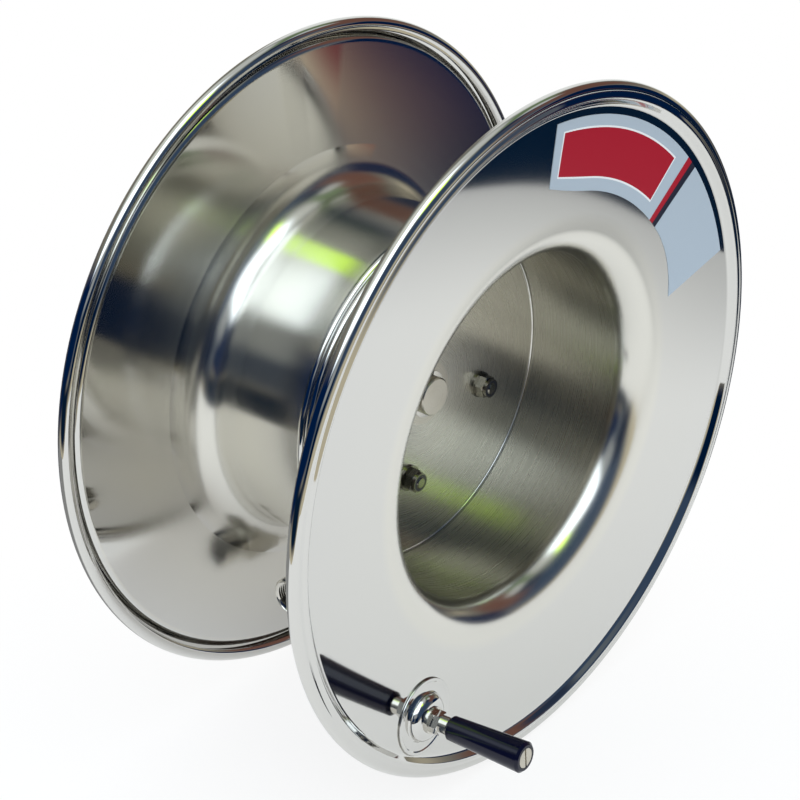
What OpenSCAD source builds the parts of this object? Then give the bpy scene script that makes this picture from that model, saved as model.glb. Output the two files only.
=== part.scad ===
// Fire hose reel: a spun stainless steel drum that turns on a hollow wall spindle.
// The drum's axis lies along Y. The crank handle faces -Y and the wall is the plane y = 0.
// Every piece is drawn in a working frame whose z axis is the drum's axis, with z = 0 at the
// middle of the drum and +z towards the handle side. to_row() then turns it into place.

/* [Drum] */
// Outside diameter of both flanges
flange_d = 560; // [520:1:600]
// Width of the drum over both rims
drum_w = 246; // [230:1:270]
// Inside diameter of the barrel
barrel_id = 285; // [275:1:295]
// Sheet thickness of the flanges and the barrel
sheet_t = 1.5; // [1.2:0.1:1.8]
// Radius of the flare between the barrel and a flange
flare_r = 24; // [20:1:28]
// Dish of a flange's face, in degrees
dish_a = 5; // [4:0.5:6]
// Radius of the rolled bead at the edge of a flange
bead_r = 5.5; // [5:0.1:6]
// Thickness of the web plate inside the barrel
web_t = 3; // [2.5:0.5:4]
// Length of the web plate's turned-back rim
web_rim = 16; // [10:1:24]
// Radius of each of the joint band's two round ribs
band_rib_r = 4; // [3:0.5:5]

/* [Wall flange and spindle] */
// Diameter of the wall flange
wall_flange_d = 130; // [124:1:150]
// Thickness of the wall flange
wall_flange_t = 12; // [10:1:14]
// Bolt circle of the wall flange
wall_pcd = 100; // [92:1:104]
// Diameter of the wall bolt holes
wall_hole_d = 11; // [9:0.5:13]
// Distance from the wall to the middle of the drum
drum_standoff = 145; // [143:1:150]
// Diameter of the spindle
spindle_d = 32; // [31:0.5:33]
// How far the spindle stands out of the web plate
spindle_nose = 11; // [9:0.5:14]
// Diameter of the waterway
water_d = 20; // [16:1:22]
// Tapping diameter of the inlet thread
inlet_d = 24; // [22:0.5:25]
// Depth of the inlet thread
inlet_depth = 18; // [14:1:22]

/* [Hub] */
// Outside diameter of the hub's flange
hub_flange_d = 172; // [166:1:180]
// Thickness of the hub's flange
hub_flange_t = 8; // [6:1:10]
// Outside diameter of the hub's body
hub_body_d = 68; // [64:1:74]
// Length of the hub behind the web plate
hub_len = 109; // [107:1:110]
// Bolt circle of the hub bolts
hub_pcd = 146; // [140:1:150]
// Angle of the first hub bolt from +X towards +Z
hub_bolt_a = -16; // [-40:1:40]
// Distance of the water chamber behind the middle of the drum
port_z = 64; // [62:1:66]
// Running clearance between bush and spindle, on the radius
bush_gap = 0.05; // [0.02:0.01:0.09]

/* [Outlet] */
// Bore of the outlet pipe
outlet_bore = 25; // [23:1:26]
// Outside diameter of the outlet thread
outlet_d = 33.25; // [32:0.25:34]
// Radius of the elbow's centreline
elbow_r = 22; // [21:1:26]
// Distance of the open end of the outlet from the drum's centre, across the drum
outlet_reach = 99; // [94:1:104]

/* [Crank handle] */
// Distance of the handle from the drum's axis
handle_r = 231; // [222:1:232]
// Angle of the handle from +X towards +Z
handle_a = -125.8; // [-180:0.1:180]
// Length of the grip
grip_len = 69.5; // [60:0.5:90]
// Diameter of the grip at its inner end
grip_d_in = 19.5; // [18:0.5:22]
// Diameter of the grip at its outer end
grip_d_out = 24.5; // [23:0.5:27]
// Running clearance between grip and handle screw, on the radius
grip_gap = 0.08; // [0.04:0.01:0.1]

/* [Nameplate] */
// Radius of the nameplate's inner edge
plate_r_in = 200; // [190:1:210]
// Radius of the nameplate's outer edge
plate_r_out = 255; // [245:1:256]
// Angle at which the nameplate starts, from +X towards +Z
plate_a0 = 17.8; // [0:0.1:40]
// Angle that the nameplate covers
plate_sweep = 71; // [50:1:90]

/* [Hidden] */

$fn = 96;
arc_step = 8;               // degrees between the points of a sheet section's bends
eps = 1;                    // overshoot of a cutting tool
sink = 0.5;                 // overlap that joins two forms of one piece
cut_len = 40;               // length of a drill through a plate
end_bevel = 1;              // bevel at the free end of a shaft, stud or pipe
fine_fn = 32;               // facets of a section's small circles

// Colours
polished = "#d4d6d5";
satin = "#a39f8c";
bright = "#c9c8c0";
bronze = "#b08d4f";
rubber = "#1c1c1c";
nylon = "#2b2f36";
grip_black = "#12131f";
plate_white = "#b9c6d4";

// Drum section
barrel_r = barrel_id / 2;
barrel_out = barrel_r + sheet_t;
flange_r = flange_d / 2;
half_w = drum_w / 2;

// Bends of the rim beyond the flat face, each [straight run, turn to the left, bend radius]
rim_bends = [
  [0, 45, 6],               // cove
  [3.8, -70, 3],            // step and ridge
  [2.2, 34, 2.5],           // groove
  [0.2, -194, bead_r],      // outside of the rolled bead
  [0.4, -70, bead_r - sink] // curl of the bead towards the sheet's back
];

function beyond(p, h, run) = [p[0] + run * cos(h), p[1] + run * sin(h), h];
function bend_centre(p, h, k, r) = [p[0] - k * r * sin(h), p[1] + k * r * cos(h)];
function on_bend(c, h, k, r) = [c[0] + k * r * sin(h), c[1] - k * r * cos(h), h];

// Points [x, y, heading] along a line that starts at p with heading h and follows the bends
function walk(p, h, bends, i = 0) =
  i == len(bends) ? [] :
  let (
    q = beyond(p, h, bends[i][0]),
    turn = bends[i][1],
    k = sign(turn),
    r = bends[i][2],
    c = bend_centre(q, h, k, r),
    n = ceil(abs(turn) / arc_step)
  )
  turn == 0
    ? concat([q], walk(q, h, bends, i + 1))
    : concat(
        [for (j = [0 : n]) on_bend(c, h + turn * j / n, k, r)],
        walk(on_bend(c, h + turn, k, r), h + turn, bends, i + 1)
      );

function xy(line) = [for (p = line) [p[0], p[1]]];
function right_of(line, t) = [for (p = line) [p[0] + t * sin(p[2]), p[1] - t * cos(p[2])]];
function backwards(v) = [for (i = [len(v) - 1 : -1 : 0]) v[i]];
function sheet(line, t) = concat(xy(line), backwards(right_of(line, t)));

// The flare and the rim drawn from a zero start show how long the straight runs must be
flare_bend = [[0, dish_a - 90, flare_r]];
flare_line = walk([barrel_r, 0], 90, flare_bend);
flare_end = flare_line[len(flare_line) - 1];
rim_line = walk([0, 0], dish_a, rim_bends);
rim_reach = max([for (p = rim_line) p[0]]);
rim_rise = max([for (p = rim_line) p[1]]);
face_r0 = flare_end[0];
face_r1 = flange_r - rim_reach;
face_rise = (face_r1 - face_r0) * tan(dish_a);
face_run = (face_r1 - face_r0) / cos(dish_a);
barrel_run = half_w - rim_rise - face_rise - flare_end[1];

// Joint band, as parts of its ribs' radius
band_sink = 0.45;           // depth of a rib's centre below the barrel's surface
band_pitch = 1.75;          // distance between the ribs' centres
band_shift = 0.35;          // distance of the rear rib behind the middle of the drum
function face_z(r) = half_w - rim_rise - (face_r1 - r) * tan(dish_a);

shell_bends = concat([[barrel_run, dish_a - 90, flare_r],
                      [face_run, rim_bends[0][1], rim_bends[0][2]]],
                     [for (i = [1 : len(rim_bends) - 1]) rim_bends[i]]);
shell_line = concat([[barrel_r, 0, 90]], walk([barrel_r, 0], 90, shell_bends));

// Hub and spindle, measured along the axis
spindle_r = spindle_d / 2;
wall_z = -drum_standoff;
wall_bolt_a = 45;
hub_front = -web_t;
hub_back = hub_front - hub_len;
bush_len = 24;
bush_r = 20;
seal_bore_r = 18;
chamber_r = 24;
chamber_len = 28;
port_d = 10;
ring_r = 1.75;              // half the seal ring's thickness
ring_groove_w = 4.2;
ring_groove_r = 14.3;
ring_front_z = -38;
ring_back_z = -83;
thrust_t = 2;
face_gap = 0.3;             // gap between faces that turn past each other
boss_r = 28;
thrust_r = 30;
retainer_r = 26.5;
retainer_t = 2;
retainer_hole_r = 16.3;
web_hole_r = 17;
clip_t = 1.6;
clip_r = 19.5;
clip_groove_r = 14.5;
clip_z = retainer_t + face_gap;
clip_gap_a = 40;

// M10 fasteners
m10_r = 5;
m10_hole_r = 5.5;
m10_head_af = 17;
m10_head_t = 6.4;
hex_drop_r = 1;             // how far a hexagon's end cone cuts its corners, across
hex_drop_t = 0.6;           // and along the axis
m10_washer_r = 11;
m10_washer_t = 2;
nyloc_hex_t = 8;
nyloc_t = 11;
nyloc_collar_r = 8;
insert_r = 7.2;
insert_t = 2;
stud_tip = 14;
web_bend_r = 4;

// Outlet
outlet_br = outlet_bore / 2;
outlet_r = outlet_d / 2;
pipe_r = outlet_r;
hub_port_r = 22;
hub_port_len = 50;
hub_port_seat = 15;
barrel_hole_r = 17.5;
seal_in_t = 3;
seal_out_t = 2.5;
nut_flat = barrel_r - seal_in_t;
nut_t = 9;
nut_af = 42;
collar_flat = barrel_out + seal_out_t;
collar_t = 8;
collar_r = 21;
seal_r = 20;
elbow_out_r = 18.5;
elbow_y = collar_flat + collar_t;
elbow_leg = 16;
outlet_y = elbow_y + elbow_r;
nipple_hex_af = 38;
nipple_hex_t = 16;
thread_len = 23;
nipple_x0 = elbow_r + elbow_leg;
nipple_hex_x = outlet_reach - thread_len - nipple_hex_t;

// Crank handle, measured along its own axis from the face of the flange
seat = 0.2;                 // lift that clears the slight curve of the face
boss_brim_r = 31.5;
boss_brim_t = 1.6;
boss_step_r = 22;
boss_step_t = 2.4;
boss_top_r = 11.5;
boss_top = 9;
washer_t = 2;
hex_af = 16.5;
hex_t = 8;
collar_neck_r = 7;
grip_start = 26;
grip_edge = 2;
screw_head_r = 7.75;
screw_head_t = 3;
screw_slot_w = 1.6;
screw_slot_t = 1.2;
grip_end = grip_start + grip_len;
backing_washer_r = 12;
hex_base = boss_top + washer_t;
collar_base = hex_base + hex_t;
back_face = -sheet_t - seat;
screw_proud = 2;
screw_tip = back_face - washer_t - nyloc_t - screw_proud;

plate_t = 0.4;

// ---------------------------------------------------------------- helpers

// Turns the working frame into the frame of the part
module to_row() { rotate([90, 0, 0]) translate([0, 0, drum_standoff]) children(); }

// Puts children on the face of the front flange, square to it, where the handle stands
module at_handle() {
  rotate([0, 0, handle_a])
    translate([handle_r, 0, face_z(handle_r)])
      rotate([0, -dish_a, 0])
        children();
}

module at_hub_bolts() {
  for (i = [0 : 3])
    rotate([0, 0, hub_bolt_a + 90 * i])
      translate([hub_pcd / 2, 0, 0])
        children();
}

// Points z towards the outlet, straight down from the axis at the water chamber
module at_outlet() { translate([0, 0, -port_z]) rotate([90, 0, 0]) children(); }

module ring(r_out, r_in, t) {
  difference() {
    cylinder(r = r_out, h = t);
    translate([0, 0, -eps]) cylinder(r = r_in, h = t + 2 * eps);
  }
}

module hex_bar(af, t) { cylinder(d = af / cos(30), h = t, $fn = 6); }

// Hexagon with its corners turned down to a cone at both ends
module hex_head(af, t) {
  corner = af / cos(30) / 2;
  intersection() {
    hex_bar(af, t);
    rotate_extrude()
      polygon([[0, 0], [corner - hex_drop_r, 0], [corner, hex_drop_t],
               [corner, t - hex_drop_t], [corner - hex_drop_r, t], [0, t]]);
  }
}

module nyloc_nut() {
  difference() {
    union() {
      hex_head(m10_head_af, nyloc_hex_t);
      cylinder(r = nyloc_collar_r, h = nyloc_t);
    }
    translate([0, 0, -eps]) cylinder(r = m10_r, h = nyloc_t + 2 * eps);
    translate([0, 0, nyloc_t - insert_t]) cylinder(r = insert_r, h = insert_t + eps);
  }
}

// Round bar along z with a bevel at its far end
module bevelled_bar(r, h) {
  cylinder(r = r, h = h - end_bevel);
  translate([0, 0, h - end_bevel]) cylinder(r1 = r, r2 = r - end_bevel, h = end_bevel);
}

module drum_shell() { rotate_extrude() polygon(sheet(shell_line, sheet_t)); }

// ---------------------------------------------------------------- wall side, fixed

module wall_flange() {
  boss_len = drum_standoff + hub_back - face_gap - thrust_t;
  color(bright) to_row() translate([0, 0, wall_z])
    difference() {
      union() {
        cylinder(r = wall_flange_d / 2, h = wall_flange_t);
        cylinder(r = boss_r, h = boss_len);
      }
      translate([0, 0, -eps]) cylinder(r = spindle_r, h = boss_len + 2 * eps);
      for (i = [0 : 3])
        rotate([0, 0, wall_bolt_a + 90 * i])
          translate([wall_pcd / 2, 0, -eps])
            cylinder(r = wall_hole_d / 2, h = wall_flange_t + 2 * eps);
    }
}

module ring_groove(z) {
  translate([0, 0, z - ring_groove_w / 2]) ring(spindle_r + eps, ring_groove_r, ring_groove_w);
}

module spindle() {
  water_end = -port_z + chamber_len / 2;
  color(polished) to_row()
    difference() {
      translate([0, 0, wall_z]) bevelled_bar(spindle_r, drum_standoff + spindle_nose);
      translate([0, 0, wall_z - eps]) cylinder(r = water_d / 2, h = water_end - wall_z + eps);
      translate([0, 0, wall_z - eps]) cylinder(r = inlet_d / 2, h = inlet_depth + eps);
      for (a = [0, 90])
        translate([0, 0, -port_z]) rotate([90, 0, a])
          cylinder(r = port_d / 2, h = spindle_d + 2 * eps, center = true);
      ring_groove(ring_front_z);
      ring_groove(ring_back_z);
      translate([0, 0, clip_z]) ring(spindle_r + eps, clip_groove_r, clip_t);
    }
}

module thrust_washer() {
  color(bronze) to_row()
    translate([0, 0, hub_back - face_gap - thrust_t]) ring(thrust_r, spindle_r, thrust_t);
}

module seal_rings() {
  color(rubber) to_row()
    for (z = [ring_front_z, ring_back_z])
      translate([0, 0, z])
        rotate_extrude() translate([ring_groove_r + ring_r, 0]) circle(r = ring_r, $fn = fine_fn);
}

module circlip() {
  color(bright) to_row() translate([0, 0, clip_z])
    difference() {
      ring(clip_r, clip_groove_r, clip_t);
      rotate([0, 0, 90 - clip_gap_a / 2]) linear_extrude(height = 4 * clip_t, center = true)
        polygon([[0, 0], [2 * clip_r, 0],
                 [2 * clip_r * cos(clip_gap_a), 2 * clip_r * sin(clip_gap_a)]]);
    }
}

// ---------------------------------------------------------------- drum, turning

module front_flange() {
  color(polished) to_row()
    difference() {
      drum_shell();
      at_handle() cylinder(r = m10_hole_r, h = cut_len, center = true);
    }
}

module rear_flange() {
  color(satin) to_row()
    difference() {
      mirror([0, 0, 1]) drum_shell();
      at_outlet() cylinder(r = barrel_hole_r, h = barrel_out + cut_len);
    }
}

module web_plate() {
  web_line = concat([[web_hole_r, 0, 0]],
    walk([web_hole_r, 0], 0, [[barrel_r - web_hole_r - web_bend_r, -90, web_bend_r],
                              [web_rim - web_bend_r, 0, 0]]));
  color(satin) to_row()
    difference() {
      rotate_extrude() polygon(sheet(web_line, web_t));
      at_hub_bolts() cylinder(r = m10_hole_r, h = cut_len, center = true);
    }
}

module joint_band() {
  rear_z = -band_rib_r * band_shift;
  color(polished) to_row()
    rotate_extrude()
      difference() {
        for (z = [rear_z, rear_z + band_rib_r * band_pitch])
          translate([barrel_out - band_rib_r * band_sink, z]) circle(r = band_rib_r);
        translate([0, -cut_len / 2]) square([barrel_out, cut_len]);
      }
}

module hub() {
  color(bronze) to_row()
    difference() {
      union() {
        translate([0, 0, hub_back]) cylinder(r = hub_body_d / 2, h = hub_len);
        translate([0, 0, hub_front - hub_flange_t])
          cylinder(r = hub_flange_d / 2, h = hub_flange_t);
        translate([0, 0, hub_front - 2 * hub_flange_t])
          cylinder(r1 = hub_body_d / 2, r2 = hub_body_d / 2 + hub_flange_t, h = hub_flange_t);
        at_outlet() cylinder(r = hub_port_r, h = hub_port_len);
      }
      translate([0, 0, hub_back - eps]) cylinder(r = seal_bore_r, h = hub_len + 2 * eps);
      translate([0, 0, hub_front - bush_len]) cylinder(r = bush_r, h = bush_len + eps);
      translate([0, 0, hub_back - eps]) cylinder(r = bush_r, h = bush_len + eps);
      translate([0, 0, -port_z - chamber_len / 2]) cylinder(r = chamber_r, h = chamber_len);
      at_outlet() cylinder(r = outlet_br, h = hub_port_len + eps);
      at_outlet() translate([0, 0, hub_port_len - hub_port_seat])
        cylinder(r = pipe_r, h = hub_port_seat + eps);
      at_hub_bolts() cylinder(r = m10_hole_r, h = cut_len, center = true);
    }
}

module bush(z) {
  color(bronze) to_row() translate([0, 0, z]) ring(bush_r, spindle_r + bush_gap, bush_len);
}
module front_bush() { bush(hub_front - bush_len); }
module rear_bush() { bush(hub_back); }

module retaining_washer() {
  color(satin) to_row() ring(retainer_r, retainer_hole_r, retainer_t);
}

module hub_bolts() {
  head_z = hub_front - hub_flange_t - m10_head_t;
  color(bright) to_row() at_hub_bolts() {
    translate([0, 0, head_z]) hex_head(m10_head_af, m10_head_t);
    translate([0, 0, head_z + sink]) bevelled_bar(m10_r, stud_tip - head_z - sink);
  }
}

module hub_washers() {
  color(bright) to_row() at_hub_bolts() ring(m10_washer_r, m10_hole_r, m10_washer_t);
}

module hub_nuts() {
  color(bright) to_row() at_hub_bolts() translate([0, 0, m10_washer_t]) nyloc_nut();
}

module nut_inserts() {
  color(nylon) to_row() at_hub_bolts()
    translate([0, 0, m10_washer_t + nyloc_t - insert_t]) ring(insert_r, m10_r, insert_t);
}

// ---------------------------------------------------------------- outlet

module outlet_pipe() {
  start = hub_port_len - hub_port_seat;
  color(bright) to_row() at_outlet()
    translate([0, 0, start]) ring(pipe_r, outlet_br, elbow_y - start);
}

module bulkhead_nut() {
  color(bright) to_row() at_outlet() translate([0, 0, nut_flat - nut_t])
    difference() {
      hex_head(nut_af, nut_t);
      translate([0, 0, -eps]) cylinder(r = pipe_r, h = nut_t + 2 * eps);
    }
}

module barrel_seals() {
  color(rubber) to_row()
    difference() {
      at_outlet() translate([0, 0, nut_flat]) ring(seal_r, pipe_r, collar_flat - nut_flat);
      translate([0, 0, -port_z - seal_r - eps]) ring(barrel_out, barrel_r, 2 * (seal_r + eps));
    }
}

// The elbow turns from straight down to -X and ends in a short straight leg
module elbow_run(r, over) {
  translate([-elbow_r, 0, elbow_y]) rotate([90, 0, 0])
    rotate_extrude(angle = 90) translate([elbow_r, 0]) circle(r = r);
  translate([-elbow_r, 0, outlet_y]) rotate([0, -90, 0]) cylinder(r = r, h = elbow_leg + over);
}

module outlet_elbow() {
  color(polished) to_row() at_outlet()
    difference() {
      union() {
        translate([0, 0, collar_flat]) cylinder(r = collar_r, h = collar_t);
        elbow_run(elbow_out_r, 0);
      }
      translate([0, 0, collar_flat - eps]) cylinder(r = pipe_r, h = collar_t + eps);
      elbow_run(outlet_br, eps);
    }
}

module outlet_nipple() {
  color(polished) to_row() at_outlet()
    translate([-nipple_x0, 0, outlet_y]) rotate([0, -90, 0])
      difference() {
        union() {
          bevelled_bar(outlet_r, outlet_reach - nipple_x0);
          translate([0, 0, nipple_hex_x - nipple_x0]) hex_head(nipple_hex_af, nipple_hex_t);
        }
        translate([0, 0, -eps]) cylinder(r = outlet_br, h = outlet_reach - nipple_x0 + 2 * eps);
      }
}

// ---------------------------------------------------------------- nameplate and handle

module nameplate() {
  color(plate_white) to_row()
    rotate([0, 0, plate_a0]) rotate_extrude(angle = plate_sweep)
      polygon([[plate_r_in, face_z(plate_r_in)], [plate_r_out, face_z(plate_r_out)],
               [plate_r_out, face_z(plate_r_out) + plate_t],
               [plate_r_in, face_z(plate_r_in) + plate_t]]);
}

// Pressed cup: a flat brim, a round shoulder and a flat top for the washer
module handle_boss() {
  shoulder = boss_top - boss_brim_t;
  color(polished) to_row() at_handle() translate([0, 0, seat])
    rotate_extrude()
      difference() {
        union() {
          square([boss_brim_r - boss_brim_t / 2, boss_brim_t]);
          translate([boss_brim_r - boss_brim_t / 2, boss_brim_t / 2])
            circle(d = boss_brim_t, $fn = fine_fn);
          translate([0, boss_brim_t]) square([boss_top_r, shoulder - seat]);
          intersection() {
            translate([boss_top_r, boss_brim_t]) circle(r = shoulder - seat);
            translate([boss_top_r, boss_brim_t]) square(shoulder);
          }
          translate([0, boss_brim_t]) square([boss_step_r, boss_step_t]);
        }
        translate([-eps, -eps]) square([m10_r + eps, 2 * boss_top]);
      }
}

module handle_washer() {
  color(bright) to_row() at_handle() translate([0, 0, boss_top])
    ring(m10_washer_r, m10_r, washer_t);
}

module handle_nut() {
  color(polished) to_row() at_handle() translate([0, 0, hex_base])
    difference() {
      hex_head(hex_af, hex_t);
      translate([0, 0, -eps]) cylinder(r = m10_r, h = hex_t + 2 * eps);
    }
}

module handle_collar() {
  color(bright) to_row() at_handle() translate([0, 0, collar_base])
    ring(collar_neck_r, m10_r, grip_start - face_gap - collar_base);
}

module handle_screw() {
  head_base = grip_end - screw_head_t;
  color(satin) to_row() at_handle()
    difference() {
      union() {
        translate([0, 0, screw_tip]) cylinder(r = m10_r, h = head_base + sink - screw_tip);
        translate([0, 0, head_base]) cylinder(r = screw_head_r, h = screw_head_t);
      }
      rotate([0, 0, 90 - handle_a])
        translate([-screw_head_r - eps, -screw_slot_w / 2, grip_end - screw_slot_t])
          cube([2 * screw_head_r + 2 * eps, screw_slot_w, screw_slot_t + eps]);
    }
}

module backing_washer() {
  color(bright) to_row() at_handle() translate([0, 0, back_face - washer_t])
    ring(backing_washer_r, m10_r, washer_t);
}

module backing_nut() {
  color(bright) to_row() at_handle()
    translate([0, 0, back_face - washer_t]) rotate([180, 0, 0]) nyloc_nut();
}

// Tapered grip with chamfered ends, bored for the screw and sunk for its head
module handle_grip() {
  r_in = grip_d_in / 2;
  r_out = grip_d_out / 2;
  color(grip_black) to_row() at_handle()
    difference() {
      rotate_extrude()
        polygon([[0, grip_start], [r_in - grip_edge, grip_start], [r_in, grip_start + grip_edge],
                 [r_out, grip_end - grip_edge], [r_out - grip_edge, grip_end], [0, grip_end]]);
      translate([0, 0, grip_start - eps]) cylinder(r = m10_r + grip_gap, h = grip_len + 2 * eps);
      translate([0, 0, grip_end - screw_head_t - face_gap])
        cylinder(r = screw_head_r + face_gap, h = screw_head_t + face_gap + eps);
    }
}

// ---------------------------------------------------------------- the part

wall_flange();
spindle();
thrust_washer();
seal_rings();
circlip();
front_flange();
rear_flange();
web_plate();
joint_band();
hub();
front_bush();
rear_bush();
retaining_washer();
hub_bolts();
hub_washers();
hub_nuts();
nut_inserts();
outlet_pipe();
bulkhead_nut();
barrel_seals();
outlet_elbow();
outlet_nipple();
nameplate();
handle_boss();
handle_washer();
handle_nut();
handle_collar();
handle_screw();
backing_washer();
backing_nut();
handle_grip();
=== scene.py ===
"""Dresses the frame of a fire hose reel in spun, brushed and polished stainless steel."""

import math

import bmesh
import bpy
from mathutils import Matrix, Vector


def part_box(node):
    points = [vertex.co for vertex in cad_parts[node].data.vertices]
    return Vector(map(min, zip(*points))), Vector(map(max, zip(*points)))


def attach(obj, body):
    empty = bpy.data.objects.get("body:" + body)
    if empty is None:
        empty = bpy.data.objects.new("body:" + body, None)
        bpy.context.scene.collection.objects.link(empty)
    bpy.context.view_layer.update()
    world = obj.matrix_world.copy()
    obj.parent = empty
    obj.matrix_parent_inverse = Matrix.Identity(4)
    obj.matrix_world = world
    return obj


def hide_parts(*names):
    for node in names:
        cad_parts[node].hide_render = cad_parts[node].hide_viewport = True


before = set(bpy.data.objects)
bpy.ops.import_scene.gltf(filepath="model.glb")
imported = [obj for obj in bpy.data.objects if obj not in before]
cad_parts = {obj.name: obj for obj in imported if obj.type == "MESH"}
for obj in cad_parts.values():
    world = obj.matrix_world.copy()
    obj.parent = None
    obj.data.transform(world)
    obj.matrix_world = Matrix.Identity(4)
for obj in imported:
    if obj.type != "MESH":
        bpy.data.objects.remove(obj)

bl_info = {
    "name": "Fire hose reel",
    "version": (1, 0, 0),
    "blender": (4, 5, 0),
    "location": "3D View > Sidebar > Hose Reel",
    "description": "Dresses the frame of a fire hose reel in spun, brushed and polished steel",
    "category": "Object",
}

MM = 0.001
WHITE = (1, 1, 1, 1)


# ------------------------------------------------------------------ sizes and colours


def across(node, axis):
    """Size of a node of the frame along one axis, in metres."""
    low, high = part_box(node)
    return high[axis] - low[axis]


def length(name, description, default):
    """A size in metres."""
    return bpy.props.FloatProperty(
        name=name, description=description, default=default, unit="LENGTH", precision=5
    )


def angle(name, description, degrees):
    """An angle, given in degrees and kept in radians."""
    return bpy.props.FloatProperty(
        name=name, description=description, default=math.radians(degrees), subtype="ANGLE"
    )


def linear(code):
    """Linear RGB of an sRGB hex colour."""
    parts = [int(code[i : i + 2], 16) / 255 for i in (1, 3, 5)]
    return [p / 12.92 if p <= 0.04045 else ((p + 0.055) / 1.055) ** 2.4 for p in parts]


def colour(name, description, code):
    """A colour, given as an sRGB hex code and kept as linear RGB."""
    return bpy.props.FloatVectorProperty(
        name=name, description=description, default=linear(code), subtype="COLOR", size=3
    )


def number(name, description, default):
    """A plain number."""
    return bpy.props.FloatProperty(name=name, description=description, default=default)


class DrumSizes(bpy.types.PropertyGroup):
    """Sizes of the spun drum."""

    flange_d: length("Flange", "Outside diameter of both flanges", across("front_flange", 0))
    width: length("Width", "Width over both rims", across("rear_flange", 1) * 2)
    standoff: length("Standoff", "Distance from the wall to the drum's middle", 145 * MM)
    barrel_id: length("Barrel", "Inside diameter of the barrel", across("web_plate", 0))
    sheet_t: length("Sheet", "Sheet thickness of flanges and barrel", 1.5 * MM)
    flare_r: length("Flare", "Radius between barrel and flange face", 24 * MM)
    dish: angle("Dish", "Slope of a flange's face", 5)
    bead_r: length("Bead", "Radius of the rolled bead", 5.5 * MM)
    run_out: length("Run-out", "Distance over which the flare's marks run out", 14 * MM)
    web_t: length("Web", "Thickness of the web plate", 3 * MM)
    web_rim: length("Web rim", "Length of the web plate's turned-back rim", 16 * MM)
    band_rib_r: length("Band rib", "Radius of a rib of the joint band", 4 * MM)


class HandleSizes(bpy.types.PropertyGroup):
    """Sizes of the crank handle."""

    reach: length("Reach", "Distance of the handle from the drum's axis", 231 * MM)
    turn: angle("Turn", "Angle of the handle from +X towards +Z", -125.8)
    boss_r: length("Boss", "Radius of the boss cup over its rolled brim", 31.5 * MM)
    boss_h: length("Boss height", "Height of the boss cup's top above the flange", 9 * MM)
    brim_t: length("Brim", "Thickness of the boss cup's rolled brim", 1.6 * MM)


class OutletSizes(bpy.types.PropertyGroup):
    """Sizes of the threaded outlet."""

    thread_d: length("Thread", "Outside diameter of the outlet thread", 33.25 * MM)
    thread_len: length("Thread length", "Length of the threaded end", 23 * MM)
    pitch: length("Pitch", "Distance between two turns of the thread", 2.309 * MM)
    bore: length("Bore", "Bore of the outlet", 25 * MM)
    inner_d: length("Inner thread", "Root diameter of the thread inside the mouth", 28.2 * MM)
    inner_len: length("Inner thread length", "Depth of the thread inside the mouth", 16 * MM)
    hexagon: length("Hexagon", "Hexagon of the nipple, across flats", 38 * MM)


class PlateSizes(bpy.types.PropertyGroup):
    """Size and colours of the nameplate's film."""

    r_in: length("Inner edge", "Radius of the film's inner edge", 195.5 * MM)
    r_out: length("Outer edge", "Radius of the film's outer edge", 254.5 * MM)
    tip: length("Tip", "How far the lower corner reaches in past the inner edge", 10 * MM)
    first: angle("Lower end", "Angle of the film's lower end from +X towards +Z", 17.8)
    last: angle("Upper end", "Angle of the film's upper end from +X towards +Z", 88.8)
    film_t: length("Film", "Thickness of the film", 0.35 * MM)
    ground: colour("Ground", "Bare ground of the film", "#A9B8C6")
    panel: colour("Panel", "Coloured panel and the band beside it", "#A20E28")
    band: colour("Band", "Dark band", "#1A1E33")
    keyline: colour("Keyline", "Pale line round the panel", "#E2E7EC")


class SteelColours(bpy.types.PropertyGroup):
    """Colours of the metals."""

    polished: colour("Polished", "Mirror-polished spun stainless steel", "#D3D2CE")
    brushed: colour("Brushed", "Spun stainless steel with the lathe's marks left on", "#D9D7CF")
    marked: colour("Marked", "The same where the marks are deepest", "#C4C1B6")
    turned: colour("Turned", "Turned stainless steel, satin", "#C4BFB2")
    bright: colour("Bright", "Cold-formed stainless fasteners", "#CFCCC4")
    # painted dark reflection: the hub's fasteners are coloured darker to stand in for the dark
    # surroundings that they reflect
    painted_dark_tone: colour("Painted_dark", "Zinc-plated steel of the hub's nuts", "#8E8A80")
    gunmetal: colour("Gunmetal", "Cast and machined gunmetal", "#B9935A")


class StudioSettings(bpy.types.PropertyGroup):
    """Camera, floor and light."""

    lens: number("Lens", "Focal length in millimetres", 86.01)
    floor_drop: length("Floor", "Distance of the floor below the drum's axis", 0.281)
    paper_left: length("Paper, left", "How far the paper reaches to the left", 0.95)
    paper_right: length("Paper, right", "How far the paper reaches to the right", 1.1)
    paper_front: length("Paper, front", "How far the paper reaches to the front", 1.25)
    paper_back: length("Paper, back", "How far the paper reaches back", 0.6)
    far_cut: length("Far cut", "Distance of the paper's slanted far edge from the origin", 0.11)
    near_cut: length("Near cut", "Distance of its slanted near edge from the origin", 1.05)
    paper: colour("Paper", "White of the paper", "#F7F8F9")
    paper_glow: number("Paper glow", "Share of the paper's white that no shadow takes", 0.4)
    paper_glow_seen: number("Paper glow, seen", "The same as the camera sees it", 0.8)


# ------------------------------------------------------------------ frames and outlines


def between(value, low, high):
    """How far a value lies from low to high, kept from 0 to 1."""
    return min(1, max(0, (value - low) / (high - low)))


def drum_frame():
    """Frame of the drum: z along its axis to the front, z = 0 in its middle."""
    standoff = bpy.context.scene.reel_drum.standoff
    return Matrix.Translation((0, -standoff, 0)) @ Matrix.Rotation(math.pi / 2, 4, "X")


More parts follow.
